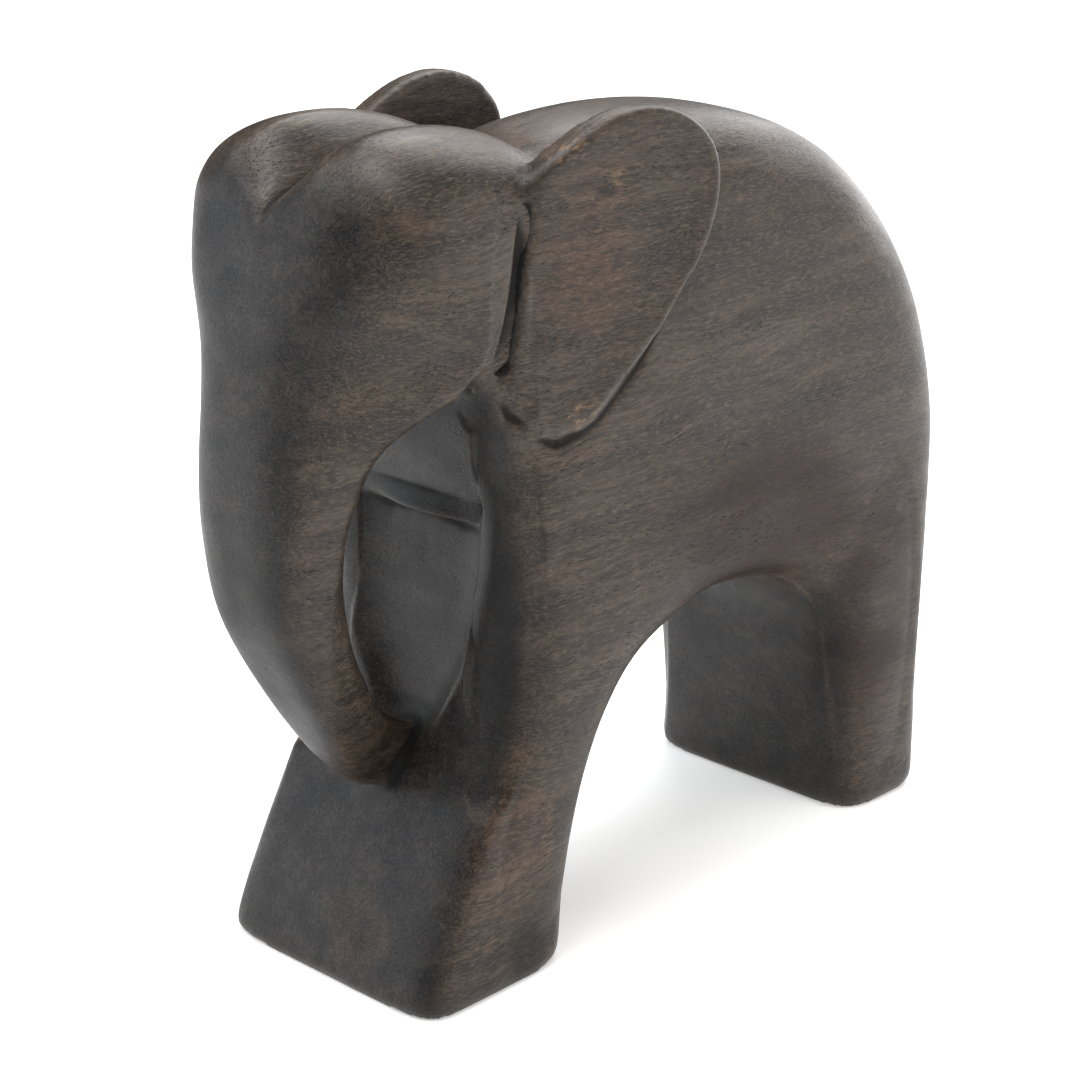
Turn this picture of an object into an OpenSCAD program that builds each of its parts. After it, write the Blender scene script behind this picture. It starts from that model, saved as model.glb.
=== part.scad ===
// Carved wooden elephant
//
// A stylised elephant carved from one upright block of wood.  It stands on two
// broad leg blocks with an open arch between them, and its trunk curls down in
// front of the chest until the tip rests on the front legs.
// The carving is drawn as seven parts that meet face to face along the lines
// where the forms change: front legs, torso, rear legs, head, trunk, two ears.
//
// Millimetres.  +Z is up, the elephant faces -Y and its left side is +X.
// Places are given from the toe line, the front lower edge of the front legs;
// stand() then moves the origin to the floor under the middle of the figure.

/* [Legs] */
// Width of the front foot just above its rounded sole edge
front_foot_w = 53; // [49:1:55]
// Length of the front foot from toe to heel
front_foot_len = 35.5; // [32:0.5:39]
// Width of the rear foot just above its rounded sole edge
rear_foot_w = 52; // [48:1:54]
// Length of the rear foot
rear_foot_len = 24; // [21:1:27]
// Clear length of the arch between the two feet
arch_len = 78.5; // [75:0.5:82]
// Height of the arch under the belly
arch_z = 53.5; // [49:0.5:58]
// How far the soles' edges are rounded back
edge = 1.2; // [0.4:0.2:2]

/* [Torso] */
// Height of the back above the floor
back_z = 141.5; // [138:0.5:144]
// Width across the flanks
flank_w = 55; // [50:1:58]
// How far the rump reaches behind the rear heel
rump_reach = 6; // [2:1:10]

/* [Head] */
// Height of the forehead lobes above the floor
crown_z = 147.5; // [143:0.5:152]
// Width across the cheeks
cheek_w = 51; // [46:1:54]
// How far the brow of the trunk reaches in front of the toes
brow_reach = 15.8; // [12:0.2:18]
// Depth of the valley between the two forehead lobes
valley_depth = 9.5; // [4:0.5:12]
// Width of the trunk
trunk_w = 21; // [17:1:25]

/* [Ears] */
// Width over the rear rims of the ears
ear_span = 56.5; // [54:0.5:62]
// Thickness of each ear flap
ear_t = 5; // [3.5:0.5:6]
// How much closer to the head's middle the front edge of an ear lies
ear_flare = 4; // [2:0.5:7]
// Depth of the hollow in the outer face of each ear
ear_dish = 0.9; // [0:0.1:1.5]
// Depth of the hollow along the root of each ear
ear_hollow = 2.2; // [0:0.2:2.6]

/* [Quality] */
// Points around each cross section of the body
body_points = 48; // [32:4:64]
// Points around each cross section of the head
head_points = 64; // [40:4:72]

/* [Hidden] */

heel_y = front_foot_len;
arch_rear_y = heel_y + arch_len;
rear_heel_y = arch_rear_y + rear_foot_len;
rump_y = rear_heel_y + rump_reach;
mid_y = (rump_y - brow_reach) / 2;
flank = flank_w / 2;
cheek = cheek_w / 2;
front_half = front_foot_w / 2;
rear_half = rear_foot_w / 2;
trunk_half = trunk_w / 2;

// Slices drawn between two neighbouring rows of a table of cross sections.
steps = 5;

// Stations of the arched body, from the front sole over the back to the rear
// sole.  Each row is one flat cross section:
// [inner y, inner z, outer y, outer z, inner half width, outer half width,
//  inner squareness, outer squareness, valley depth]
body_rows = [
  [heel_y - edge, 0, edge, 0, front_half - edge, front_half - edge, 7, 8, 0],
  [heel_y + 0.2, 2, 0.3, 2, front_half, front_half, 7.5, 8.5, 0],
  [heel_y + 2.2, 9, 3.1, 9, front_half - 0.3, front_half, 7.5, 8.5, 0],
  [heel_y + 4.7, 20, 8.2, 20, front_half - 0.8, front_half - 0.5, 7.5, 8, 0],
  [heel_y + 8, 31, 14.3, 31, front_half - 0.8, front_half - 0.6, 7, 8, 0],
  [heel_y + 12.2, 41, 20, 42, front_half - 0.2, front_half - 0.2, 6.5, 7, 0],
  [heel_y + 18.8, arch_z - 5, 21.8, 56, front_half + 0.4, front_half - 0.3, 6, 4.4, 0],
  [heel_y + 26.4, arch_z - 2, 21, 72, flank - 0.5, flank - 2.5, 5.6, 3.8, 0],
  [heel_y + 34, arch_z - 0.5, 20.5, 90, flank, flank - 3.2, 5.4, 4.8, 0],
  [heel_y + 38, arch_z, 23, 110, flank, flank - 3.5, 5.2, 5, 0],
  [heel_y + 42, arch_z + 0.3, 32, 130, flank, flank - 3.6, 5.2, 3.6, 0],
  [heel_y + 46, arch_z + 0.4, 47, back_z - 1.3, flank, flank - 3.5, 5.2, 2.9, 0],
  [heel_y + 50, arch_z + 0.2, 75, back_z + 0.3, flank, flank - 3.8, 5.2, 2.8, 0],
  [heel_y + 55, arch_z - 0.5, 101, back_z - 4, flank, flank - 4, 5.2, 2.7, 0],
  [heel_y + 61, arch_z - 2, 122, back_z - 14, flank, flank - 3.5, 5.2, 2.8, 0],
  [heel_y + 68, arch_z - 6, 137.3, back_z - 32.5, flank - 0.3, flank - 2.5, 5.2, 3, 0],
  [heel_y + 74, arch_z - 13, rump_y - 0.5, back_z - 56, rear_half + 1.2, rear_half - 0.6,
    5.6, 3.4, 0],
  [arch_rear_y - 2.5, 30, rump_y - 1.8, 57, rear_half + 0.8, rear_half - 0.6, 5.8, 4.2, 0],
  [arch_rear_y - 0.8, 16, rear_heel_y + 1.5, 28, rear_half + 0.3, rear_half - 0.4, 6, 5, 0],
  [arch_rear_y - 0.3, 8, rear_heel_y + 0.4, 11, rear_half, rear_half - 0.2, 6, 6, 0],
  [arch_rear_y, 2, rear_heel_y, 2.2, rear_half, rear_half, 5.6, 6, 0],
  [arch_rear_y + edge, 0, rear_heel_y - edge, 0, rear_half - edge, rear_half - edge, 5, 6, 0]
];
// Rows where the front legs end and where the rear legs begin.
front_rows = 7;
rear_rows = 15;

// Centre that the cross sections of the skull fan round, and how far from it
// they begin.
skull_y = 30;
skull_z = 109;
skull_core = 3;

// Cross section of the skull that runs from its centre to an outer point.
function skull_row(y, z, half, squareness, valley) =
  let (
    reach = norm([y - skull_y, z - skull_z]),
    start = skull_core / reach
  )
  [
    mix(skull_y, y, start), mix(skull_z, z, start), y, z,
    cheek, half, 6, squareness, valley
  ];

// Stations of the head, from the trunk tip up the face and over the crown.
head_rows = [
  [25.3, 40, 17.8, 30.5, 2.2, 2.2, 2.2, 2.2, 0],
  [17.5, 43.5, 9, 33.8, 2.8, 2.6, 2.5, 2.5, 0],
  [10.5, 50, 1.5, 41, 6.4, 5.9, 3, 3, 0],
  [5, 60, -6, 53, trunk_half - 1.2, trunk_half - 1.5, 3.5, 3.5, 0],
  [1.8, 73, 2 - brow_reach, 68.5, trunk_half + 0.5, trunk_half, 3.5, 3.5, 0],
  [1.6, 85, -brow_reach, 82, trunk_half + 2, trunk_half + 1.2, 3.5, 3.5, 0],
  [6, 98, 0.2 - brow_reach, 93, trunk_half + 6, trunk_half + 2, 4, 3.3, 0],
  [18, 106, 1.3 - brow_reach, 103, cheek - 2, trunk_half + 3.2, 6, 3.3, 0],
  skull_row(2.8 - brow_reach, 114, trunk_half + 6, 3.3, 0),
  skull_row(5 - brow_reach, 125, trunk_half + 11.5, 3.3, 0),
  skull_row(-8, 135, cheek - 0.5, 3.2, 0),
  skull_row(-6.6, 140, cheek, 3.1, valley_depth * 0.4),
  skull_row(-3.2, 144.2, cheek, 3, valley_depth * 0.85),
  skull_row(2, 146.8, cheek - 0.5, 2.9, valley_depth),
  skull_row(10, crown_z + 0.3, cheek - 1, 2.9, valley_depth),
  skull_row(20, crown_z - 0.3, cheek - 2, 2.8, valley_depth),
  skull_row(31, crown_z - 3.2, cheek - 3, 2.8, valley_depth * 0.6),
  skull_row(44, crown_z - 9.5, cheek - 4, 2.7, valley_depth * 0.2)
];
// Row where the trunk ends and the face begins.
trunk_rows = 6;

// Half width of the valley between the lobes, and how sharply it falls to its
// middle line: 1 is a straight-sided V.
valley_half = 10.5;
valley_power = 1.6;

// Outline of an ear in the YZ plane, from the front of its root over the top.
ear_outline = [
  [25.5, 136.5], [28.5, 139.2], [33, 141.8], [40, 144.9], [47, 146.8], [54, 147],
  [60.5, 145.2], [65.7, 141.8], [68.8, 137], [69.2, 131], [67.3, 124.5], [63.3, 117.5],
  [56.5, 109.7], [48.5, 103], [41, 97.3], [34.5, 94.6], [28, 94.8], [22.8, 97.5],
  [19.8, 103], [20.5, 113], [23.6, 126]
];
// Place on the ear's face that its rings shrink towards.
ear_mid = [45, 122];
ear_front_y = 20;
ear_rear_y = 70;
// The hollow at the root fades out over this length, and near the ear's lower
// end over this height.
ear_hollow_len = 17;
ear_hollow_z = 101;
ear_hollow_fade = 10;

// Smooth curve through the rows of a table at position u.
function curve(p, u) =
  let (
    last = len(p) - 1,
    i = min(floor(u), last - 1),
    f = u - i,
    a = p[max(i - 1, 0)],
    b = p[i],
    c = p[i + 1],
    d = p[min(i + 2, last)]
  )
  0.5 * ((2 * b) + (c - a) * f + (2 * a - 5 * b + 4 * c - d) * f * f
    + (3 * b - a - 3 * c + d) * f * f * f);

function mix(a, b, f) = a + (b - a) * f;

// One point of a cross section at angle a: 90 degrees is the outer side.
function section_point(row, a) =
  let (
    inner = [row[0], row[1]],
    across = [row[2], row[3]] - inner,
    h = norm(across) / 2,
    w = (row[4] + row[5]) / 2,
    n = sin(a) < 0 ? row[6] : row[7],
    c = abs(cos(a)),
    s = abs(sin(a)),
    even = atan2(h * s, w * c),
    square = atan2(h * pow(s, 2 / n), w * pow(c, 2 / n)),
    phi = mix(even, square, 0.5),
    r = pow(pow(cos(phi) / w, n) + pow(sin(phi) / h, n), -1 / n),
    t0 = h + sign(sin(a)) * r * sin(phi),
    x = sign(cos(a)) * r * cos(phi) * mix(row[4], row[5], t0 / (2 * h)) / w,
    dip = sin(a) > 0 ? row[8] * pow(1 - min(1, abs(x) / valley_half), valley_power) : 0,
    t = (t0 - dip) / (2 * h)
  )
  [x, inner[0] + across[0] * t, inner[1] + across[1] * t];

// The four-sided patch abcd split along its shorter diagonal.
function patch(p, a, b, c, d) =
  norm(p[a] - p[c]) < norm(p[b] - p[d])
    ? [[a, b, c], [a, c, d]]
    : [[a, b, d], [b, c, d]];

// Closed solid through the rows from number first to number last, with n points
// around each cross section.
module loft(rows, first, last, n) {
  rings = (last - first) * steps;
  points = [
    for (k = [0:rings], j = [0:n - 1])
      section_point(curve(rows, first + k / steps), 360 * j / n)
  ];
  sides = [
    for (k = [0:rings - 1], j = [0:n - 1])
      let (next = (j + 1) % n)
      each patch(points, k * n + j, k * n + next, (k + 1) * n + next, (k + 1) * n + j)
  ];
  caps = [[for (j = [n - 1:-1:0]) j], [for (j = [0:n - 1]) rings * n + j]];
  polyhedron(points = points, faces = concat(sides, caps), convexity = 6);
}

// Move the figure from the toe line to the origin under its middle.
module stand() {
  translate([0, -mid_y, 0]) children();
}

// Hollow gouged in the chest behind the trunk: narrow at the foot, wide under
// the jaw.  Each row is [y, z, half width, half depth].
scoop_rows = [
  [16, 41, 5, 6],
  [15.5, 47, 11, 9],
  [15, 55, 17, 11.5],
  [14.5, 63, 20.5, 13.5],
  [14, 71, 22.5, 15.5],
  [13.5, 78, 23.5, 16.5],
  [13.5, 85, 24, 16.5],
  [13, 92, 24.5, 16],
  [12, 99, 25, 15]
];
gouge_half_height = 8;

module gouge(row) {
  translate([0, row[0], row[1]])
    scale([row[2], row[3], min(row[3], gouge_half_height)])
      sphere(1, $fn = 32);
}

module scoop() {
  for (i = [0:len(scoop_rows) - 2])
    hull() {
      gouge(scoop_rows[i]);
      gouge(scoop_rows[i + 1]);
    }
}

// Lean an ear, drawn flat in YZ at x = 0, so that its front edge lies deeper.
module flare() {
  slope = ear_flare / (ear_rear_y - ear_front_y);
  multmatrix([
    [1, slope, 0, ear_span / 2 - slope * ear_rear_y],
    [0, 1, 0, 0],
    [0, 0, 1, 0]
  ]) children();
}

// Smooth closed curve through the ear's outline.
function ear_ring(size) =
  let (n = len(ear_outline))
  [
    for (i = [0:n - 1], f = [0, 0.34, 0.67])
      let (
        a = ear_outline[(i + n - 1) % n],
        b = ear_outline[i],
        c = ear_outline[(i + 1) % n],
        d = ear_outline[(i + 2) % n]
      )
      mix(ear_mid, curve([a, b, c, d], 1 + f), size)
  ];

// Rings of the ear from its flat inner face round the rim to the dished face:
// [size, x].
ear_rings = [
  [1, -ear_t],
  [1, -1.4],
  [0.99, -0.4],
  [0.965, 0],
  [0.93, -0.1],
  [0.75, -0.6 * ear_dish],
  [0.5, -0.9 * ear_dish],
  [0.25, -ear_dish]
];

// How much deeper the ear's face lies at outline place [y, z], towards its root.
function root_dip(p) =
  ear_hollow * pow(1 - min(1, max(0, p[0] - ear_front_y) / ear_hollow_len), 2)
    * min(1, max(0, (p[1] - ear_hollow_z) / ear_hollow_fade));

module ear_solid() {
  n = 3 * len(ear_outline);
  count = len(ear_rings);
  points = [
    for (r = ear_rings)
      for (p = ear_ring(r[0]))
        [r[1] - (r[1] > -ear_t ? root_dip(p) : 0), p[0], p[1]]
  ];
  sides = [
    for (k = [0:count - 2], j = [0:n - 1])
      [k * n + j, k * n + (j + 1) % n, (k + 1) * n + (j + 1) % n, (k + 1) * n + j]
  ];
  caps = [[for (j = [n - 1:-1:0]) j], [for (j = [0:n - 1]) (count - 1) * n + j]];
  flare() polyhedron(points = points, faces = concat(sides, caps), convexity = 4);
}

// Room for an ear: its outline cut from its inner face outwards, past the flank.
ear_seat_depth = 30;

module ear_seat() {
  flare()
    translate([-ear_t, 0, 0])
      rotate([90, 0, 90])
        linear_extrude(ear_seat_depth) polygon(ear_ring(1));
}

module both_sides() {
  children();
  mirror([1, 0, 0]) children();
}

// Rows of the arched body with the hollow behind the trunk taken out.
module chest(first, last) {
  difference() {
    loft(body_rows, first, last, body_points);
    scoop();
  }
}

// Block that closes the space under the jaw, with a nearly upright face set back
// behind the trunk.  Rows of that face, from the top: [y, z, half width].
throat_rows = [
  [21.3, 106.5, 18.5],
  [23, 98, 19],
  [25, 89.5, 19.5],
  [27.8, 81, 20.5]
];
throat_steps = 8;
throat_round = 2;
// Row inside the torso that the block runs back to.
throat_root = [42, 95, 17];

module throat_end(row) {
  both_sides()
    translate([row[2] - throat_round, row[0], row[1]])
      sphere(throat_round, $fn = 32);
}

module throat() {
  last = len(throat_rows) - 1;
  for (i = [0:throat_steps - 1])
    hull() {
      throat_end(curve(throat_rows, last * i / throat_steps));
      throat_end(curve(throat_rows, last * (i + 1) / throat_steps));
      throat_end(throat_root);
    }
}

module front_legs() {
  color("#4a3f38") stand() chest(0, front_rows);
}

module torso() {
  color("#51453d") stand() difference() {
    union() {
      chest(front_rows, rear_rows);
      throat();
    }
    both_sides() ear_seat();
  }
}

module rear_legs() {
  color("#4a3f38") stand() loft(body_rows, rear_rows, len(body_rows) - 1, body_points);
}

module head() {
  color("#4d423b") stand() difference() {
    loft(head_rows, trunk_rows, len(head_rows) - 1, head_points);
    loft(body_rows, front_rows, rear_rows, body_points);
    throat();
    both_sides() ear_seat();
  }
}

module trunk() {
  color("#4d423b") stand() difference() {
    loft(head_rows, 0, trunk_rows, head_points);
    chest(0, front_rows);
  }
}

module left_ear() {
  color("#574a40") stand() ear_solid();
}

module right_ear() {
  mirror([1, 0, 0]) left_ear();
}

front_legs();
torso();
rear_legs();
head();
trunk();
left_ear();
right_ear();
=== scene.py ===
"""Looks of the carved wooden elephant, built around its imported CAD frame.

The figure is one carved block, so the seven CAD nodes are first skinned together, eased like
sanded wood and then cut again where the nodes meet.  Each cut piece stands for its own node.
Lengths are in metres and in the frame's axes: +Z up, the elephant faces -Y.
"""

import math

import bmesh
import bpy
import numpy as np
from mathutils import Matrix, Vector, noise
from mathutils.bvhtree import BVHTree


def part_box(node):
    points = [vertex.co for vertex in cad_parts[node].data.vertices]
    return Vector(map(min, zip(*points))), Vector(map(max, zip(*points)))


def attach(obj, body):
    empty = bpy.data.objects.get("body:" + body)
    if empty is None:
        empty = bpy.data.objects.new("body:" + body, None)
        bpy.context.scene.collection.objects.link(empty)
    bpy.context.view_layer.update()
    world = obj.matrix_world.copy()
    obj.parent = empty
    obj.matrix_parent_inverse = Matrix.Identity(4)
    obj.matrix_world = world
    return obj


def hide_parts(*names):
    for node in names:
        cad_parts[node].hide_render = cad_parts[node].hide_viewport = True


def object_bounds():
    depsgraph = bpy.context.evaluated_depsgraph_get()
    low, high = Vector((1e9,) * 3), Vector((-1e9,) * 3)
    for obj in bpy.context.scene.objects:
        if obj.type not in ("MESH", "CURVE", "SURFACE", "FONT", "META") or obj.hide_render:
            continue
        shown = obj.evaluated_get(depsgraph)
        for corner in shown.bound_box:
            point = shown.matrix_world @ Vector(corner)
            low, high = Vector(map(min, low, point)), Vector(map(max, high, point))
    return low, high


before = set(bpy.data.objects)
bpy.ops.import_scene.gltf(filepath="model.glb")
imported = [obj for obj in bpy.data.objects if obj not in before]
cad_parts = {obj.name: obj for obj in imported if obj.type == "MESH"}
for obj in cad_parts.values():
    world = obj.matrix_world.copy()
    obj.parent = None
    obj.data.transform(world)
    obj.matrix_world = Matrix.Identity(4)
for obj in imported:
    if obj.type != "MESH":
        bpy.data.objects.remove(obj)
cad_low, cad_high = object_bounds()
centre = (cad_low + cad_high) / 2
MM = 0.001


def at(x, y, z):
    """Place given by shares of the CAD box: x from the middle to the left side, y from the front
    to the rear, z from the floor to the top."""
    size = cad_high - cad_low
    return Vector((centre.x + x * size.x / 2, cad_low.y + y * size.y, cad_low.z + z * size.z))


# ---------------------------------------------------------------- geometry

# The order in which the cuts between the nodes are made.
CUT_ORDER = ("left_ear", "right_ear", "trunk", "head", "front_legs", "rear_legs", "torso")
VOXEL = 0.6 * MM
TINY = 1e-12

# Smoothing: the share of the way to its neighbours' mean that a vertex moves in each round, and
# the number of rounds of each job.
GENTLE, FIRM = 0.6, 0.8
LIGHT_ROUNDS = 3
FACET_ROUNDS = 30
FACET_LIMIT = 0.16 * MM
SINK_ROUNDS = 12
HOLLOW_ROUNDS = 20
SANDING_ROUNDS = 160

# Places that were sanded rounder: [place, reach in millimetres along X, Y and Z, limit in
# millimetres].  Each one holds on both sides of the figure.
SANDED = (
    (at(0.80, 0.225, 0.46), (9, 11, 40), 4.0),
    (at(0.80, 0.228, 0.695), (9, 8, 8), 2.2),
    (at(0.84, 0.240, 0.81), (7, 5.5, 20), 1.1),
    (at(0.37, 0.12, 0.45), (6, 8, 30), 0.8),
    (at(0.96, 0.57, 0.25), (9, 62, 60), 3.2),
)

# The swelling left on the chest behind the trunk: its ends and lower fade as shares of the
# figure's height, and the shares of the figure's length that it lies between.  In millimetres:
# the height of the sloping ledge at its top, its front edge, its swell and its half width.
POD_LOW, POD_HIGH, POD_FADE = 0.30, 0.565, 0.14
POD_FRONT, POD_REAR = 0.185, 0.305
POD_LEDGE, POD_EDGE = 3.5, 2.0
POD_SWELL, POD_HALF_WIDTH = 3.0, 15.0

# Grooves cut into both flanks: the knife slit in front of the ear, and the lines under its
# front and rear edges.  [corners as shares of the left ear's box along Y and Z, depth in
# millimetres, half width in millimetres].
GROOVES = (
    (((0.15, 0.79), (0.105, 0.55), (0.08, 0.42), (0.055, 0.31), (0.05, 0.24)), 3.6, 1.25),
    (((0.43, 0.02), (0.27, -0.005), (0.176, 0.03), (0.085, 0.115), (0.04, 0.19)), 0.9, 1.1),
    (((0.93, 0.50), (0.81, 0.36), (0.645, 0.17), (0.46, 0.04), (0.34, -0.01)), 0.6, 0.6),
)
# A groove fades out over one part in GROOVE_ENDS of its length at each end, and the surface is
# eased within about GROOVE_EASE half widths of it.
GROOVE_ENDS = 6
GROOVE_EASE = 2.5
# Dirt and painted shade in the grooves, in millimetres: the cut where they start, how much
# more of it makes them full, the depth of a groove that holds them all, and the hollow they count
# as.
DIRT_SHADE_FROM, DIRT_SHADE_OVER, DIRT_SHADE_DEPTH, DIRT_SHADE_HOLLOW = 0.1, 0.6, 2, 0.42

# The crease at the bottom of the valley between the lobes: where it ends as shares of the
# figure's height and length, and its fade, depth and half width in millimetres.  It is cut
# back and down, by these shares of its depth.
VALLEY_END, VALLEY_REAR = 0.905, 0.26
VALLEY_FADE, VALLEY_CUT, VALLEY_WIDTH = 6, 1.8, 1.0
VALLEY_BACK, VALLEY_DOWN = 0.6, 0.8

# Marks of the gouge and of the sanding: [size in millimetres along X, Y and Z, shift of the
# noise along X in sizes, height in millimetres].
TOOL_MARKS = (
    ((15, 21, 19), 0, 0.16),
    ((6, 10, 7), 31, 0.05),
)

# Vertices below this height are squashed down to this share of it, so that the soles are flat.
SOLE_HEIGHT, SOLE_SQUASH = 0.35 * MM, 0.2

# Vertices nearer to a cut than this count as lying on it.
SNAP = 0.05 * MM
# The rings that close an open rim, as shares of its size.
RIM_RINGS = (0.7, 0.4, 0.15)


def skin_of_nodes():
    """A single even mesh around copies of all the CAD nodes."""
    joined = bmesh.new()
    for node in CUT_ORDER:
        joined.from_mesh(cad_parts[node].data)
    source = bpy.data.meshes.new("joined")
    joined.to_mesh(source)
    joined.free()
    holder = bpy.data.objects.new("joined", source)
    bpy.context.scene.collection.objects.link(holder)
    remesh = holder.modifiers.new("skin", "REMESH")
    remesh.mode = "VOXEL"
    remesh.voxel_size = VOXEL
    remesh.adaptivity = 0.0
    graph = bpy.context.evaluated_depsgraph_get()
    skin = bpy.data.meshes.new_from_object(holder.evaluated_get(graph))
    bpy.data.objects.remove(holder)
    bpy.data.meshes.remove(source)
    return skin


def outer_shell(mesh):
    """Delete every closed bubble of a mesh but the largest."""
    bm = bmesh.new()
    bm.from_mesh(mesh)
    bm.verts.ensure_lookup_table()
    seen = np.zeros(len(bm.verts), bool)
    shells = []
    for start in bm.verts:
        if seen[start.index]:
            continue
        seen[start.index] = True
        shell = [start]
        for vert in shell:
            for edge in vert.link_edges:
                other = edge.other_vert(vert)
                if not seen[other.index]:
                    seen[other.index] = True
                    shell.append(other)
        shells.append(shell)
    shells.sort(key=len)
    for shell in shells[:-1]:
        bmesh.ops.delete(bm, geom=shell, context="VERTS")
    bm.to_mesh(mesh)
    bm.free()


def vertex_rows(mesh, kind):
    """The "co" or the "normal" of every vertex."""
    rows = np.empty(len(mesh.vertices) * 3)
    mesh.vertices.foreach_get(kind, rows)
    return rows.reshape(-1, 3)


def place_vertices(mesh, co):
    mesh.vertices.foreach_set("co", co.ravel())
    mesh.update()


def edge_ends(mesh):
    """The numbers of the two vertices of every edge."""
    ends = np.empty(len(mesh.edges) * 2, np.int64)
    mesh.edges.foreach_get("vertices", ends)
    return ends.reshape(-1, 2)


def eased(values, ends, share, rounds):
    """Values at the vertices after each has moved towards its neighbours' mean, rounds times."""
    a, b = ends[:, 0], ends[:, 1]
    count = len(values)
    degree = np.bincount(a, minlength=count) + np.bincount(b, minlength=count)
    for _ in range(rounds):
        mean = np.empty_like(values)
        for k in range(values.shape[1]):
            column = values[:, k]
            mean[:, k] = np.bincount(a, column[b], count) + np.bincount(b, column[a], count)
        mean /= degree[:, None]
        values = values + share * (mean - values)
    return values


def limited(step, limit):
    """Steps shortened to at most the limit."""
    length = np.linalg.norm(step, axis=1)
    return step * np.minimum(1.0, limit / np.maximum(length, TINY))[:, None]


def without_facets(co, ends):
    """Smooth away the flat facets of the CAD lofts, but keep the carved edges and creases."""
    light = eased(co, ends, GENTLE, LIGHT_ROUNDS)
    smooth = eased(light, ends, FIRM, FACET_ROUNDS)
    return eased(light + limited(smooth - light, FACET_LIMIT), ends, GENTLE, LIGHT_ROUNDS)


def sanded(co, ends):
    """Round the places of SANDED further, at their full limit within half of their reach."""
    folded = np.column_stack((np.abs(co[:, 0]), co[:, 1], co[:, 2]))
    limit = np.zeros(len(co))
    for middle, reach, most in SANDED:
        away = np.linalg.norm((folded - np.array(middle)) / (np.array(reach) * MM), axis=1)
        limit = np.maximum(limit, most * MM * np.clip(2 * (1 - away), 0, 1))
    return co + limited(eased(co, ends, FIRM, SANDING_ROUNDS) - co, limit)


def without_shrinking(mesh, raw, smooth, ends):
    """Push the smoothed surface back out by as much as it sank on average around each vertex."""
    place_vertices(mesh, smooth)
    normal = vertex_rows(mesh, "normal")
    sunk = np.sum((raw - smooth) * normal, axis=1)[:, None]
    return smooth + normal * eased(sunk, ends, FIRM, SINK_ROUNDS)


def swollen(co):
    """Push the floor of the hollow behind the trunk forward into a rounded swelling."""
    low, high, fade = at(0, 0, POD_LOW).z, at(0, 0, POD_HIGH).z, at(0, 0, POD_FADE).z
    share = np.clip((co[:, 2] - low) / fade, 0, 1)
    share *= np.clip((high - co[:, 2]) / (POD_LEDGE * MM), 0, 1)
    front, rear = at(0, POD_FRONT, 0).y, at(0, POD_REAR, 0).y
    share *= np.clip((co[:, 1] - front) / (POD_EDGE * MM), 0, 1) * (co[:, 1] < rear)
    out = co.copy()
    out[:, 1] -= share * POD_SWELL * MM * np.exp(-((co[:, 0] / (POD_HALF_WIDTH * MM)) ** 2))
    return out


def carve_marks(co):
    """Height of the shallow hollows that the gouge and the sanding left, in metres."""
    heights = np.zeros(len(co))
    for i, (x, y, z) in enumerate(co / MM):
        for (a, b, c), shift, height in TOOL_MARKS:
            heights[i] += height * noise.noise(Vector((x / a + shift, y / b, z / c)))
    return heights * MM


def from_line(points, corners):
    """Distance of each 2-D point from a line of straight pieces, and the share along it."""
    best = np.full(len(points), np.inf)
    share = np.zeros(len(points))
    corners = np.array(corners)
    for k, (a, b) in enumerate(zip(corners[:-1], corners[1:])):
        t = np.clip((points - a) @ (b - a) / ((b - a) @ (b - a)), 0, 1)
        gap = np.linalg.norm(points - a - t[:, None] * (b - a), axis=1)
        nearer = gap < best
        best[nearer] = gap[nearer]
        share[nearer] = (k + t[nearer]) / (len(corners) - 1)
    return best, share


def with_grooves(co, ends):
    """Cut the grooves into both flanks, and give each vertex's dirt and painted shade in them, 0
    to 1.
    """
    low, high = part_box("left_ear")
    size = high - low
    co = co.copy()
    side = np.abs(co[:, 0]) > low.x
    dirt_and_shade = np.zeros(len(co))
    flank = co[:, 1:]
    for corners, depth, width in GROOVES:
        line = [(low.y + size.y * y, low.z + size.z * z) for y, z in corners]
        gap, share = from_line(flank, line)
        fade = np.clip(GROOVE_ENDS * np.minimum(share, 1 - share), 0, 1)
        cut = depth * MM * fade * np.exp(-((gap / (width * MM)) ** 2))
        co[side, 0] -= np.sign(co[side, 0]) * cut[side]
        # Dirt together with painted shade: the deeper the cut, the darker the groove is painted.
        deep = min(1.0, depth / DIRT_SHADE_DEPTH) * np.clip((cut / MM - DIRT_SHADE_FROM) / DIRT_SHADE_OVER, 0, 1)
        dirt_and_shade[side] = np.maximum(dirt_and_shade, deep)[side]
        near = np.where(side, np.exp(-((gap / (GROOVE_EASE * width * MM)) ** 2)), 0)
        co += near[:, None] * (eased(co, ends, GENTLE, LIGHT_ROUNDS) - co)
    return co, dirt_and_shade


def with_valley(co):
    """Cut the crease at the bottom of the valley between the lobes."""
    co = co.copy()
    crown = np.clip((co[:, 2] - at(0, 0, VALLEY_END).z) / (VALLEY_FADE * MM), 0, 1)
    cut = VALLEY_CUT * MM * crown * np.exp(-((co[:, 0] / (VALLEY_WIDTH * MM)) ** 2))
    ahead = co[:, 1] < at(0, VALLEY_REAR, 0).y
    co[ahead, 1] += VALLEY_BACK * cut[ahead]
    co[ahead, 2] -= VALLEY_DOWN * cut[ahead]
    return co


def node_distances(co):
    """Distance of every point from the surface of every CAD node."""
    rows = []
    for node in CUT_ORDER:
        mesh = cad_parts[node].data
        mesh.calc_loop_triangles()
        tree = BVHTree.FromPolygons(
            [v.co for v in mesh.vertices], [t.vertices for t in mesh.loop_triangles]
        )
        rows.append([tree.find_nearest(p)[3] for p in co])
    return np.array(rows)


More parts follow.
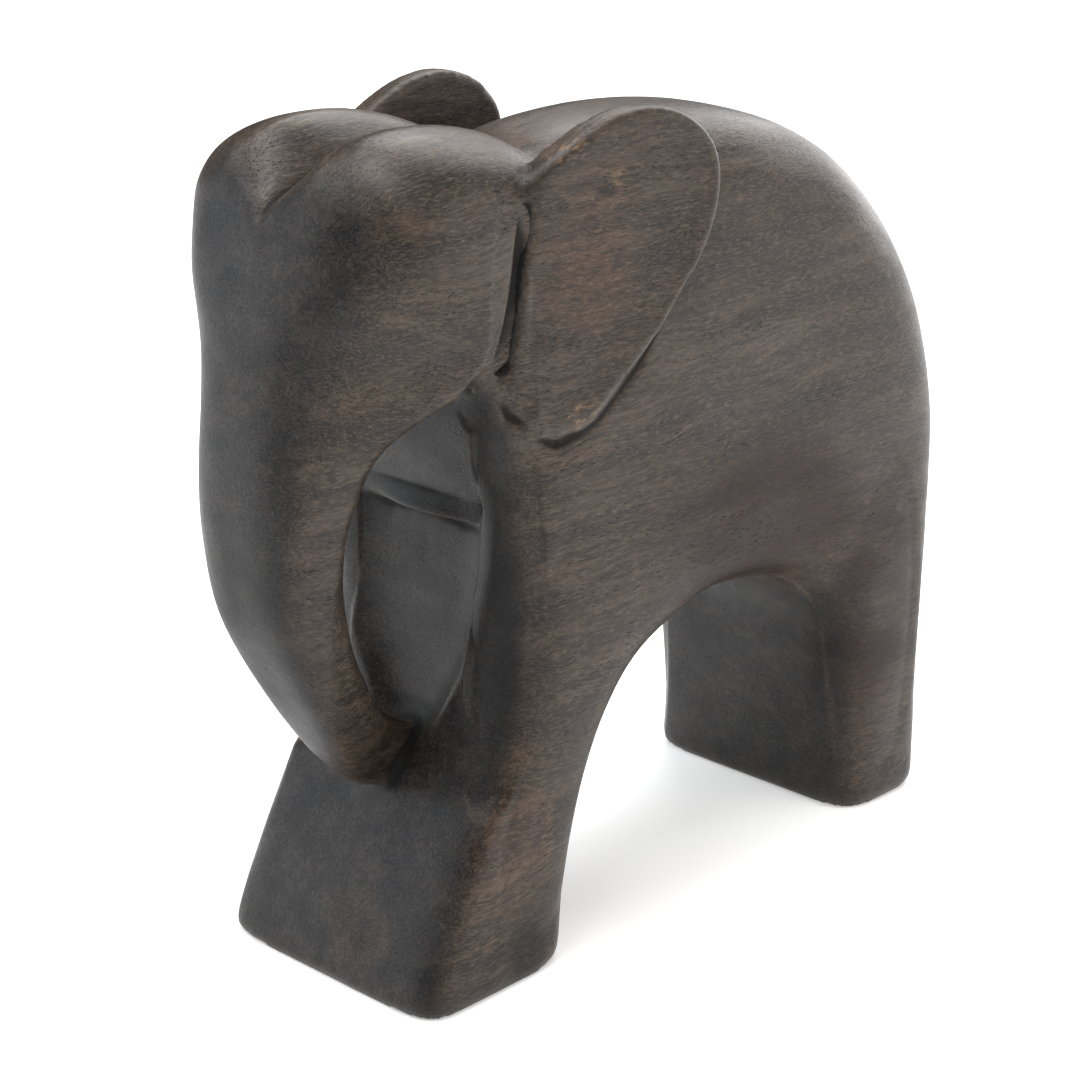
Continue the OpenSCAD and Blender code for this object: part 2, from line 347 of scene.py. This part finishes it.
def carved_block():
    """The whole figure as one closed mesh, with the vertex layers that the cuts and looks need.

    Each "field_" layer is below zero where its node is the nearest.
    """
    mesh = skin_of_nodes()
    outer_shell(mesh)
    ends = edge_ends(mesh)
    raw = vertex_rows(mesh, "co")
    co = without_shrinking(mesh, raw, without_facets(raw, ends), ends)
    co = sanded(swollen(co), ends)
    distances = node_distances(co)
    co, dirt_and_shade = with_grooves(co, ends)
    co = with_valley(co)
    place_vertices(mesh, co)
    co = co + vertex_rows(mesh, "normal") * carve_marks(co)[:, None]
    wide = eased(co, ends, FIRM, HOLLOW_ROUNDS)
    place_vertices(mesh, co)
    hollow = np.sum((wide - co) * vertex_rows(mesh, "normal"), axis=1) / MM
    # The grooves' dirt and painted shade add to the hollow, which darkens the wood.
    hollow += DIRT_SHADE_HOLLOW * dirt_and_shade
    sole = co[:, 2] < SOLE_HEIGHT
    co[sole, 2] = np.maximum(co[sole, 2] * SOLE_SQUASH, 0.0)
    place_vertices(mesh, co)
    for i, node in enumerate(CUT_ORDER):
        others = np.delete(distances, i, axis=0).min(axis=0)
        layer = mesh.attributes.new("field_" + node, "FLOAT", "POINT")
        layer.data.foreach_set("value", (distances[i] - others).astype(np.float32))
    layer = mesh.attributes.new("hollow", "FLOAT", "POINT")
    layer.data.foreach_set("value", hollow.astype(np.float32))
    for name, value in (("place", co), ("shade", vertex_rows(mesh, "normal"))):
        layer = mesh.attributes.new(name, "FLOAT_VECTOR", "POINT")
        layer.data.foreach_set("vector", value.astype(np.float32).ravel())
    return mesh


def cut_where_nodes_meet(mesh):
    """Split the faces along each line where two nodes are equally near."""
    bm = bmesh.new()
    bm.from_mesh(mesh)
    place = bm.verts.layers.float_vector["place"]
    for node in CUT_ORDER[:-1]:
        field = bm.verts.layers.float["field_" + node]
        for vert in bm.verts:
            vert.co = (vert[field], vert[place].y, vert[place].z)
        geometry = bm.verts[:] + bm.edges[:] + bm.faces[:]
        bmesh.ops.bisect_plane(
            bm, geom=geometry, dist=SNAP, plane_co=(0, 0, 0), plane_no=(1, 0, 0)
        )
    for vert in bm.verts:
        vert.co = vert[place]
    bm.to_mesh(mesh)
    bm.free()
    mesh.update()


def rims(bm):
    """Each open rim of a mesh as a list of its vertices in order."""
    open_edges = {e for e in bm.edges if e.is_boundary}
    found = []
    while open_edges:
        edge = open_edges.pop()
        loop = edge.link_loops[0]
        first, last = loop.link_loop_next.vert, loop.vert
        rim = [first, last]
        while True:
            step = next((e for e in last.link_edges if e in open_edges), None)
            if step is None:
                break
            open_edges.remove(step)
            last = step.other_vert(last)
            if last == first:
                break
            rim.append(last)
        found.append(rim)
    return found


def close_rims(bm, marked):
    """Close every rim with rings that shrink to its middle, inside the wood."""
    for rim in rims(bm):
        middle = sum((v.co for v in rim), Vector()) / len(rim)
        outer = rim
        for share in RIM_RINGS:
            inner = [bm.verts.new(middle.lerp(v.co, share)) for v in rim]
            for k in range(len(rim)):
                j = (k + 1) % len(rim)
                face = bm.faces.new((outer[k], outer[j], inner[j], inner[k]))
                face[marked] = 1
            outer = inner
        centre_vert = bm.verts.new(middle)
        for k in range(len(rim)):
            face = bm.faces.new((outer[k], outer[(k + 1) % len(rim)], centre_vert))
            face[marked] = 1


def piece_of(block, owner, number):
    """The part of the block whose faces belong to one node, closed where it was cut."""
    bm = bmesh.new()
    bm.from_mesh(block)
    bm.faces.ensure_lookup_table()
    others = [bm.faces[i] for i in np.flatnonzero(owner != number)]
    bmesh.ops.delete(bm, geom=others, context="FACES")
    marked = bm.faces.layers.int.new("closing")
    close_rims(bm, marked)
    mesh = bpy.data.meshes.new(CUT_ORDER[number] + "_wood")
    bm.to_mesh(mesh)
    bm.free()
    return mesh


def shade_as_block(mesh):
    """Give the piece the whole block's normals, so that no line shows where pieces meet."""
    for polygon in mesh.polygons:
        polygon.use_smooth = True
    count = len(mesh.loops)
    corner = np.empty(count, np.int64)
    mesh.loops.foreach_get("vertex_index", corner)
    shade = np.empty(len(mesh.vertices) * 3, np.float32)
    mesh.attributes["shade"].data.foreach_get("vector", shade)
    normal = shade.reshape(-1, 3)[corner]
    closing = np.empty(len(mesh.polygons), np.int32)
    mesh.attributes["closing"].data.foreach_get("value", closing)
    flat = np.empty(len(mesh.polygons) * 3, np.float32)
    mesh.polygons.foreach_get("normal", flat)
    totals = np.empty(len(mesh.polygons), np.int64)
    mesh.polygons.foreach_get("loop_total", totals)
    by_loop = np.repeat(np.arange(len(totals)), totals)
    inside = closing[by_loop] == 1
    normal[inside] = flat.reshape(-1, 3)[by_loop][inside]
    mesh.normals_split_custom_set(normal.tolist())


def owners(block):
    """For each face of the block, the number of the node that is nearest."""
    fields = np.empty((len(CUT_ORDER), len(block.vertices)), np.float32)
    for i, node in enumerate(CUT_ORDER):
        block.attributes["field_" + node].data.foreach_get("value", fields[i])
    totals = np.empty(len(block.polygons), np.int64)
    block.polygons.foreach_get("loop_total", totals)
    corner = np.empty(len(block.loops), np.int64)
    block.loops.foreach_get("vertex_index", corner)
    starts = np.concatenate(([0], np.cumsum(totals)[:-1]))
    means = np.add.reduceat(fields[:, corner], starts, axis=1) / totals
    return means.argmin(axis=0)


def make_pieces(material):
    """One closed piece for each CAD node."""
    block = carved_block()
    cut_where_nodes_meet(block)
    owner = owners(block)
    for number, node in enumerate(CUT_ORDER):
        mesh = piece_of(block, owner, number)
        shade_as_block(mesh)
        for name in [a.name for a in mesh.attributes if a.name.startswith("field_")]:
            mesh.attributes.remove(mesh.attributes[name])
        for name in ("place", "shade", "closing"):
            mesh.attributes.remove(mesh.attributes[name])
        mesh.materials.append(material)
        piece = bpy.data.objects.new(node + "_wood", mesh)
        bpy.context.scene.collection.objects.link(piece)
        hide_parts(node)
        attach(piece, "root")
    bpy.data.meshes.remove(block)


# ---------------------------------------------------------------- materials

# The sway of the grain: the sway's noise along each axis, and how far it moves, in millimetres.
SWAY_SCALE, SWAY = (28, 12, 28), 3.0
# A spot keeps its full strength out to this share of its reach.
SPOT_FULL = 0.35
# The colour sockets of a Mix node, which share their names with those of its other types.
MIX_COLOUR_A, MIX_COLOUR_B, MIX_COLOUR_RESULT = 6, 7, 2


class Nodes:
    """Short calls for the nodes of one material."""

    def __init__(self, name):
        self.material = bpy.data.materials.new(name)
        self.material.use_nodes = True
        self.tree = self.material.node_tree
        self.tree.nodes.clear()

    def node(self, kind, **settings):
        made = self.tree.nodes.new("ShaderNode" + kind)
        for key, value in settings.items():
            setattr(made, key, value)
        return made

    def link(self, source, socket):
        if isinstance(source, (int, float, tuple)):
            socket.default_value = source
        else:
            self.tree.links.new(source, socket)

    def math(self, operation, a, b=0.0, clamp=False):
        made = self.node("Math", operation=operation, use_clamp=clamp)
        self.link(a, made.inputs[0])
        self.link(b, made.inputs[1])
        return made.outputs[0]

    def stretched(self, scale, offset=(0.0, 0.0, 0.0)):
        """The object's own coordinates, scaled along each axis."""
        place = self.node("TexCoord")
        mapping = self.node("Mapping")
        mapping.inputs["Scale"].default_value = scale
        mapping.inputs["Location"].default_value = offset
        self.link(place.outputs["Object"], mapping.inputs["Vector"])
        return mapping.outputs[0]

    def wavy(self, amount):
        """The object's own coordinates, swaying by an amount in millimetres like wood grain."""
        place = self.node("TexCoord").outputs["Object"]
        sway = self.node("TexNoise")
        self.link(self.stretched(SWAY_SCALE, (4, 4, 4)), sway.inputs["Vector"])
        sway.inputs["Detail"].default_value = 1.0
        shift = self.node("VectorMath", operation="MULTIPLY_ADD")
        self.link(sway.outputs["Color"], shift.inputs[0])
        for socket, value in ((1, amount * MM), (2, -0.5 * amount * MM)):
            shift.inputs[socket].default_value = (value, 0, value)
        moved = self.node("VectorMath", operation="ADD")
        self.link(place, moved.inputs[0])
        self.link(shift.outputs[0], moved.inputs[1])
        return moved.outputs[0]

    def scaled(self, vector, scale):
        made = self.node("VectorMath", operation="MULTIPLY")
        self.link(vector, made.inputs[0])
        made.inputs[1].default_value = scale
        return made.outputs[0]

    def end_grain(self):
        """0 on faces along the grain, 1 on faces that the grain runs straight into."""
        split = self.node("SeparateXYZ")
        self.link(self.node("TexCoord").outputs["Normal"], split.inputs[0])
        return self.math("ABSOLUTE", split.outputs["Y"])

    def spot(self, middle, reach):
        """1 around a place, falling to 0 at its reach along each axis."""
        scale = [1 / (r * MM) for r in reach]
        near = self.node("VectorMath", operation="LENGTH")
        self.link(
            self.stretched(scale, [-m * k for m, k in zip(middle, scale)]), near.inputs[0]
        )
        return self.spread(near.outputs["Value"], SPOT_FULL, 1.0, 1.0, 0.0)

    def noise(self, vector, detail, roughness=0.5, distortion=0.0):
        made = self.node("TexNoise")
        self.link(vector, made.inputs["Vector"])
        made.inputs["Scale"].default_value = 1.0
        made.inputs["Detail"].default_value = detail
        made.inputs["Roughness"].default_value = roughness
        made.inputs["Distortion"].default_value = distortion
        return made.outputs["Fac"]

    def spread(self, value, low, high, to_low=0.0, to_high=1.0):
        """to_low up to the value low, to_high from the value high, and a smooth step between."""
        made = self.node("MapRange", interpolation_type="SMOOTHSTEP")
        self.link(value, made.inputs["Value"])
        made.inputs["From Min"].default_value = low
        made.inputs["From Max"].default_value = high
        made.inputs["To Min"].default_value = to_low
        made.inputs["To Max"].default_value = to_high
        return made.outputs["Result"]

    def mix(self, share, a, b, blend="MIX"):
        made = self.node("Mix", data_type="RGBA", blend_type=blend)
        self.link(share, made.inputs["Factor"])
        self.link(a, made.inputs[MIX_COLOUR_A])
        self.link(b, made.inputs[MIX_COLOUR_B])
        return made.outputs[MIX_COLOUR_RESULT]

    def bump(self, height, distance, strength, normal=None):
        made = self.node("Bump")
        made.inputs["Strength"].default_value = strength
        made.inputs["Distance"].default_value = distance
        self.link(height, made.inputs["Height"])
        if normal is not None:
            self.link(normal, made.inputs["Normal"])
        return made.outputs["Normal"]


# Marks on the wood: [place, reach in millimetres along X, Y and Z, strength].
RED_STAIN = (
    (at(0.96, 0.64, 0.46), (22, 42, 26), 1.0),
    (at(0.96, 0.86, 0.30), (20, 20, 34), 1.0),
)
# Dark stains, and shade painted on the hollow behind the trunk and under the throat.
DARK_STAIN_AND_SHADE = (
    # Painted shade on the near rim of the hollow behind the trunk.
    (at(0.80, 0.22, 0.42), (10, 17, 42), 0.4),
    # Painted shade under the throat.
    (at(0.30, 0.24, 0.66), (18, 12, 13), 0.6),
    # Painted shade along the near rim of the hollow behind the trunk.
    (at(0.76, 0.23, 0.44), (6, 10, 34), 1.0),
    (at(0.92, 0.25, 0.04), (10, 6, 9), 0.8),
    (at(0.0, 0.03, 0.42), (16, 16, 34), 0.8),
    (at(0.95, 0.09, 0.06), (9, 8, 34), 0.8),
    (at(0.95, 0.37, 0.915), (3, 4, 2.5), 1.0),
    (at(0.93, 0.27, 0.93), (5, 5, 6), 0.7),
)
RUBBED = (
    (at(0.93, 0.305, 0.975), (5, 9, 4), 1.0),
    (at(0.90, 0.335, 0.665), (6, 6, 4), 0.9),
    (at(0.95, 0.385, 0.925), (4, 5, 2.5), 0.6),
    (at(0.25, 0.18, 0.31), (6, 6, 6), 0.5),
    (at(0.93, 0.285, 0.175), (8, 2.5, 9), 0.45),
    (at(0.93, 0.19, 0.07), (8, 6, 2.5), 0.4),
)
BROWN = (
    (at(0.2, 0.12, 0.07), (12, 8, 12), 0.6),
    (at(0.93, 0.23, 0.20), (6, 14, 24), 0.35),
    (at(0.95, 0.36, 0.84), (8, 16, 22), 0.35),
)
CRACKED = (
    (at(0.90, 0.25, 0.935), (6, 9, 6), 1.0),
    (at(-0.30, 0.13, 0.965), (7, 10, 6), 1.0),
    (at(0.96, 0.42, 0.94), (5, 12, 6), 0.8),
    (at(0.95, 0.30, 0.68), (6, 8, 5), 0.7),
    (at(0.0, 0.24, 0.58), (20, 8, 8), 0.8),
)


# Colours of the wood.
DARK_BAND, LIGHT_BAND = (0.0185, 0.0148, 0.0124, 1), (0.066, 0.047, 0.0335, 1)
CLOUD = (0.066, 0.036, 0.023, 1)
DARK_STRAND, DARK_STREAK = (0.0120, 0.0095, 0.0085, 1), (0.0085, 0.0070, 0.0065, 1)
LIGHT_FIBRE, DARK_FIBRE = (0.125, 0.092, 0.066, 1), (0.0080, 0.0066, 0.0060, 1)
LIGHT_SPECK, BLACK_PORE = (0.110, 0.086, 0.067, 1), (0.004, 0.0035, 0.003, 1)
BARE_WOOD, WORN_EDGE = (0.19, 0.120, 0.066, 1), (0.075, 0.058, 0.045, 1)
# Near black: dirt in the cracks, and painted shade in hollows, creases and grooves.
DIRT_AND_SHADE = (0.003, 0.0028, 0.0028, 1)
# Stains that multiply the colour under them; NEAR_BLACK also paints shade.
END_STAIN, BROWN_STAIN = (0.42, 0.52, 0.68, 1), (1.9, 1.45, 1.15, 1)
DEEP_RED, NEAR_BLACK = (0.43, 0.25, 0.21, 1), (0.22, 0.22, 0.24, 1)
# Heights of the fibres, streaks and pores in metres, and the strength of the wax's reflection.
FIBRE_HEIGHT, STREAK_HEIGHT, PORE_DEPTH = 0.00008, 0.00009, 0.00010
WAX_LEVEL = 0.25


def marks(n, places, broken):
    """Share of a mark at each place, broken up by a noise."""
    total = 0.0
    for middle, reach, strength in places:
        total = n.math("MAXIMUM", n.math("MULTIPLY", n.spot(middle, reach), strength), total)
    return n.math("MULTIPLY", total, broken)


def dark_wood():
    """Open-pored wood stained almost black and waxed to a satin sheen, with its grain along Y and
    shade painted into its hollows and creases.
    """
    n = Nodes("dark_wood")
    grain = n.wavy(SWAY)
    bands = n.noise(n.scaled(grain, (150, 16, 170)), detail=4, roughness=0.6, distortion=0.4)
    strands = n.noise(n.scaled(grain, (430, 36, 430)), detail=4, roughness=0.62)
    streaks = n.noise(n.scaled(grain, (1250, 75, 1250)), detail=4, roughness=0.65)
    fibres = n.noise(n.scaled(grain, (2800, 480, 2800)), detail=3, roughness=0.7)
    cracks = n.noise(n.scaled(grain, (1500, 150, 1500)), detail=2, roughness=0.5)
    clouds = n.noise(n.stretched((40, 26, 40), (7, 2, 1)), detail=5, roughness=0.62)
    speckle = n.noise(n.stretched((3600, 1500, 3600), (5, 5, 5)), detail=2, roughness=0.7)
    pore_cells = n.node("TexVoronoi", feature="F1")
    n.link(n.scaled(grain, (2500, 420, 2500)), pore_cells.inputs["Vector"])
    pore_cells.inputs["Scale"].default_value = 1.0
    pores = n.spread(pore_cells.outputs["Distance"], 0.12, 0.30, 1.0, 0.0)
    pore_zone = n.spread(n.noise(n.stretched((160, 40, 160), (2, 8, 4)), detail=2), 0.36, 0.66)
    pores = n.math("MULTIPLY", pores, pore_zone)
    hollow = n.node("Attribute", attribute_name="hollow").outputs["Fac"]
    ends = n.spread(n.end_grain(), 0.45, 0.9, 0.0, 0.9)

    colour = n.mix(n.spread(bands, 0.34, 0.66), DARK_BAND, LIGHT_BAND)
    colour = n.mix(n.spread(clouds, 0.48, 0.70, 0.0, 0.5), colour, CLOUD)
    colour = n.mix(n.spread(strands, 0.36, 0.60, 0.5, 0.0), colour, DARK_STRAND)
    colour = n.mix(n.spread(streaks, 0.36, 0.56, 0.65, 0.0), colour, DARK_STREAK)
    colour = n.mix(n.spread(fibres, 0.46, 0.72, 0.0, 0.55), colour, LIGHT_FIBRE)
    colour = n.mix(n.spread(fibres, 0.30, 0.48, 0.5, 0.0), colour, DARK_FIBRE)
    colour = n.mix(n.spread(speckle, 0.52, 0.72, 0.0, 0.3), colour, LIGHT_SPECK)
    colour = n.mix(ends, colour, END_STAIN, "MULTIPLY")
    patchy = n.spread(clouds, 0.30, 0.55, 0.4, 1.0)
    brown = marks(n, BROWN, patchy)
    colour = n.mix(brown, colour, BROWN_STAIN, "MULTIPLY")
    red = marks(n, RED_STAIN, patchy)
    colour = n.mix(red, colour, DEEP_RED, "MULTIPLY")
    # Dark stains, with shade painted near black on the hollow's rim behind the trunk and under
    # the throat.
    dark_stain_and_shade = marks(n, DARK_STAIN_AND_SHADE, patchy)
    colour = n.mix(dark_stain_and_shade, colour, NEAR_BLACK, "MULTIPLY")
    colour = n.mix(n.math("MULTIPLY", pores, 0.7), colour, BLACK_PORE)
    broken = n.spread(n.noise(n.stretched((1300, 420, 1300), (1, 4, 2)), detail=4), 0.46, 0.68)
    rubbed = marks(n, RUBBED, broken)
    colour = n.mix(rubbed, colour, BARE_WOOD)
    cracked = marks(n, CRACKED, n.spread(cracks, 0.60, 0.67))
    colour = n.mix(cracked, colour, DIRT_AND_SHADE)
    # Painted shade: hollows and creases are darkened towards near black, as shade falls there; in
    # the grooves this is partly dirt too.
    colour = n.mix(n.spread(hollow, 0.05, 0.40, 0.0, 0.92), colour, DIRT_AND_SHADE)
    colour = n.mix(n.spread(hollow, -0.10, -0.40, 0.0, 0.12), colour, WORN_EDGE)

    satin = n.noise(n.stretched((90, 30, 90), (1, 1, 9)), detail=3)
    rough = n.spread(satin, 0.3, 0.7, 0.30, 0.43)
    rough = n.math("ADD", rough, n.math("MULTIPLY", pores, 0.25))
    rough = n.math("ADD", rough, n.math("MULTIPLY", red, 0.14))
    rough = n.math("ADD", rough, n.math("MULTIPLY", rubbed, 0.2))
    rough = n.math("ADD", rough, n.math("MULTIPLY", dark_stain_and_shade, 0.12))
    rough = n.math("ADD", rough, n.spread(hollow, 0.08, 0.45, 0.0, 0.4), clamp=True)

    normal = n.bump(fibres, FIBRE_HEIGHT, 0.8)
    normal = n.bump(streaks, STREAK_HEIGHT, 0.7, normal)
    normal = n.bump(n.math("MULTIPLY", pores, -1.0), PORE_DEPTH, 0.8, normal)

    shader = n.node("BsdfPrincipled")
    n.link(colour, shader.inputs["Base Color"])
    n.link(rough, shader.inputs["Roughness"])
    n.link(normal, shader.inputs["Normal"])
    shader.inputs["Specular IOR Level"].default_value = WAX_LEVEL
    output = n.node("OutputMaterial")
    n.link(shader.outputs[0], output.inputs["Surface"])
    return n.material


FLOOR_COLOUR, FLOOR_ROUGHNESS, FLOOR_GLOW = (0.88, 0.88, 0.88, 1), 0.9, 0.30


def pale_floor():
    n = Nodes("pale_floor")
    shader = n.node("BsdfPrincipled")
    shader.inputs["Base Color"].default_value = FLOOR_COLOUR
    shader.inputs["Roughness"].default_value = FLOOR_ROUGHNESS
    shader.inputs["Emission Color"].default_value = (1.0, 1.0, 1.0, 1)
    shader.inputs["Emission Strength"].default_value = FLOOR_GLOW
    output = n.node("OutputMaterial")
    n.link(shader.outputs[0], output.inputs["Surface"])
    return n.material


# ---------------------------------------------------------------- stage

# Half the side of the floor, in metres.
FLOOR_HALF = 6.0


def make_floor():
    mesh = bpy.data.meshes.new("floor")
    h = FLOOR_HALF
    mesh.from_pydata([(-h, -h, 0), (h, -h, 0), (h, h, 0), (-h, h, 0)], [], [(0, 1, 2, 3)])
    mesh.materials.append(pale_floor())
    floor = bpy.data.objects.new("floor", mesh)
    bpy.context.scene.collection.objects.link(floor)


def direction(azimuth, elevation):
    """Unit vector from the figure: azimuth 0 is in front of it, 90 on its left side."""
    a, e = math.radians(azimuth), math.radians(elevation)
    return Vector((math.sin(a) * math.cos(e), -math.cos(a) * math.cos(e), math.sin(e)))


# name: azimuth and elevation in degrees, power in watts, colour.
LIGHTS = {
    "front_high": (0, 48, 4.4, (0.97, 0.98, 1.0)),
    "front_left": (-45, 12, 3.6, (0.88, 0.94, 1.0)),
    "left_high": (-50, 48, 5.6, (0.95, 0.98, 1.0)),
    "side_high": (90, 48, 4.4, (1.0, 0.97, 0.93)),
    "right_low": (135, 12, 3.6, (1.0, 0.97, 0.93)),
    "back_low": (190, 12, 5.2, (1.0, 1.0, 1.0)),
    "back_high": (205, 44, 8.0, (1.0, 1.0, 1.0)),
    "overhead": (0, 89, 13.0, (1.0, 1.0, 1.0)),
}
LIGHT_DISTANCE = 1.15
LIGHT_SIZE = (0.85, 0.6)
WORLD_STRENGTH = 0.04


def make_lights():
    for name, (azimuth, elevation, power, colour) in LIGHTS.items():
        data = bpy.data.lights.new(name, "AREA")
        data.shape = "RECTANGLE"
        data.size, data.size_y = LIGHT_SIZE
        data.energy = power
        data.color = colour
        lamp = bpy.data.objects.new(name, data)
        back = direction(azimuth, elevation)
        lamp.location = centre + back * LIGHT_DISTANCE
        lamp.rotation_mode = "QUATERNION"
        lamp.rotation_quaternion = back.to_track_quat("Z", "Y")
        bpy.context.scene.collection.objects.link(lamp)


def make_world():
    world = bpy.data.worlds.new("studio")
    world.use_nodes = True
    shade = world.node_tree.nodes["Background"]
    shade.inputs["Color"].default_value = (1.0, 1.0, 1.0, 1)
    shade.inputs["Strength"].default_value = WORLD_STRENGTH
    bpy.context.scene.world = world


CAMERA_AZIMUTH = 43.83
CAMERA_ELEVATION = 19.62
CAMERA_DISTANCE = 0.46
# From the middle of the CAD box to the middle of the picture.
CAMERA_AIM = Vector((13.3, -23.4, -0.7)) * MM
CAMERA_LENS, CAMERA_SENSOR = 90, 36
CAMERA_NEAR, CAMERA_FAR = 0.01, 50


def make_camera():
    data = bpy.data.cameras.new("camera")
    data.lens = CAMERA_LENS
    data.sensor_width = CAMERA_SENSOR
    data.clip_start = CAMERA_NEAR
    data.clip_end = CAMERA_FAR
    camera = bpy.data.objects.new("camera", data)
    back = direction(CAMERA_AZIMUTH, CAMERA_ELEVATION)
    camera.location = centre + CAMERA_AIM + back * CAMERA_DISTANCE
    camera.rotation_mode = "QUATERNION"
    camera.rotation_quaternion = back.to_track_quat("Z", "Y")
    bpy.context.scene.collection.objects.link(camera)
    bpy.context.scene.camera = camera


make_pieces(dark_wood())
make_floor()
make_lights()
make_world()
make_camera()
bpy.context.scene.view_settings.view_transform = "Standard"
